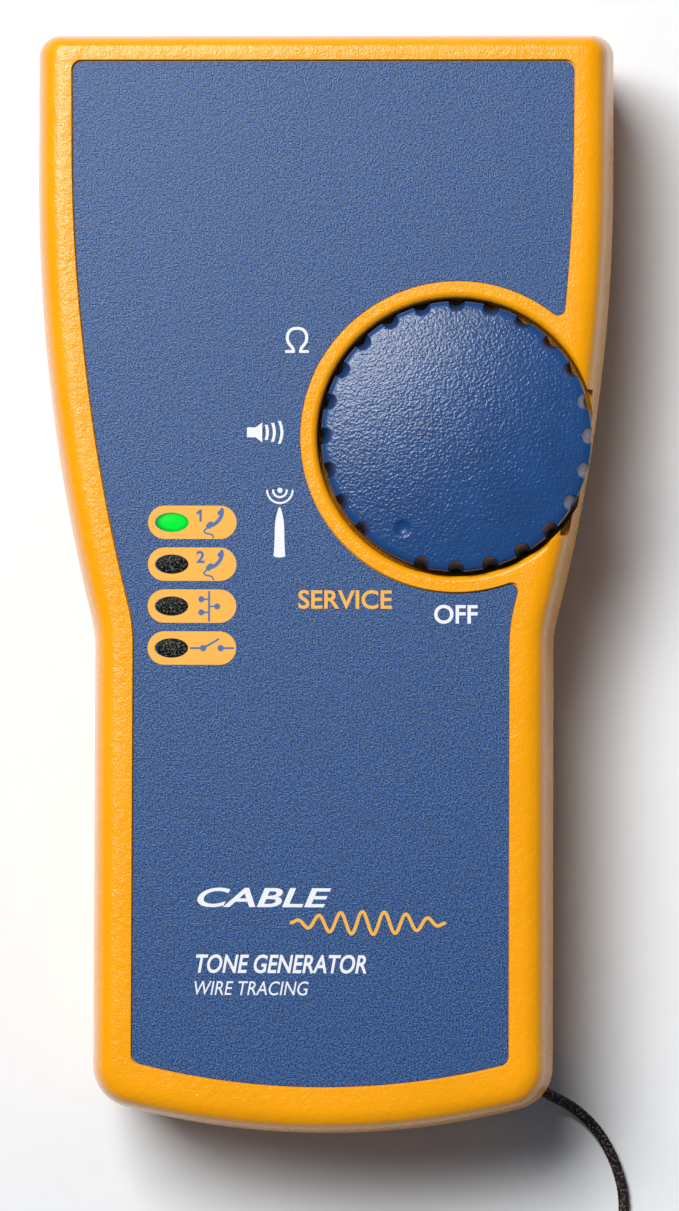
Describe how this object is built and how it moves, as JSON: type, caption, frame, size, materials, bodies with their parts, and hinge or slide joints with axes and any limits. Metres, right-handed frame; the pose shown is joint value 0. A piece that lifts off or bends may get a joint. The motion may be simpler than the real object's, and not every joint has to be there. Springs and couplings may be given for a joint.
{
  "type": "cable tone generator",
  "caption": "Handheld cable tone generator: waisted yellow case, blue front panel, notched selector knob, status lamps, sockets in the wide end and a wrist cord.",
  "frame": {"origin": "under the middle of the case, on the surface its flat back lies on", "axes": "+Y towards the wide end with the sockets, +X towards the knob's side, +Z out of the printed front"},
  "size_m": [0.0853, 0.179, 0.0319],
  "materials": {
    "case_yellow": "fine spark-eroded grain, soft gloss",
    "panel_blue": "matt speckled film",
    "knob_blue": "pebbled grain",
    "black_plastic": "moulded",
    "grey_plastic": "moulded",
    "white_plastic": "moulded",
    "board_green": "solder mask",
    "steel": "zinc plated",
    "gold_plate": "gold plated",
    "clear_lens": "smoked, speckled",
    "lit_lens": "lit green",
    "battery_wrap": "printed foil wrap",
    "foam": "closed-cell foam",
    "cord_black": "braided",
    "wire_red": "wire insulation"
  },
  "bodies": {
    "case": {"front_shell": "case_yellow", "rear_shell": "case_yellow", "front_panel": "panel_blue", "switch_base": "black_plastic", "switch_cover": "grey_plastic", "detent_spring": "steel", "main_board": "board_green", "status_led_1": "white_plastic", "status_led_2": "white_plastic", "status_led_3": "white_plastic", "status_led_4": "white_plastic", "light_pipe_1": "lit_lens", "light_pipe_2": "clear_lens", "light_pipe_3": "clear_lens", "light_pipe_4": "clear_lens", "network_jack": "black_plastic", "network_contacts": "gold_plate", "phone_jack": "black_plastic", "phone_contacts": "gold_plate", "coax_housing": "black_plastic", "coax_barrel": "steel", "coax_insulator": "white_plastic", "microcontroller": "black_plastic", "line_driver": "black_plastic", "crystal": "steel", "coupling_transformer": "grey_plastic", "relay": "black_plastic", "capacitor": "battery_wrap", "battery_9v": "battery_wrap", "battery_snap": "black_plastic", "battery_lead_red": "wire_red", "battery_lead_black": "black_plastic", "case_screw_1": "steel", "case_screw_2": "steel", "case_screw_3": "steel", "case_screw_4": "steel", "board_screw_1": "steel", "board_screw_2": "steel", "lanyard_pin": "steel", "lanyard_hitch": "cord_black", "lanyard_cord": "cord_black", "lanyard_ferrule": "steel", "lanyard_coil": "cord_black"},
    "selector": {"selector_knob": "knob_blue", "switch_rotor": "white_plastic", "switch_wiper": "gold_plate"},
    "door": {"battery_door": "case_yellow", "door_screw": "steel", "door_foam": "foam"}
  },
  "joints": [
    {"name": "selector_turn", "type": "hinge", "parent": "case", "child": "selector", "pos_m": [0.0169, 0.0179, 0.027], "axis": [0, 0, 1], "range_deg": [-90, 30]},
    {"name": "battery_door_tilt", "type": "hinge", "parent": "case", "child": "door", "pos_m": [0, -0.0622, 0.0002], "axis": [-1, 0, 0], "range_deg": [0, 60]}
  ]
}
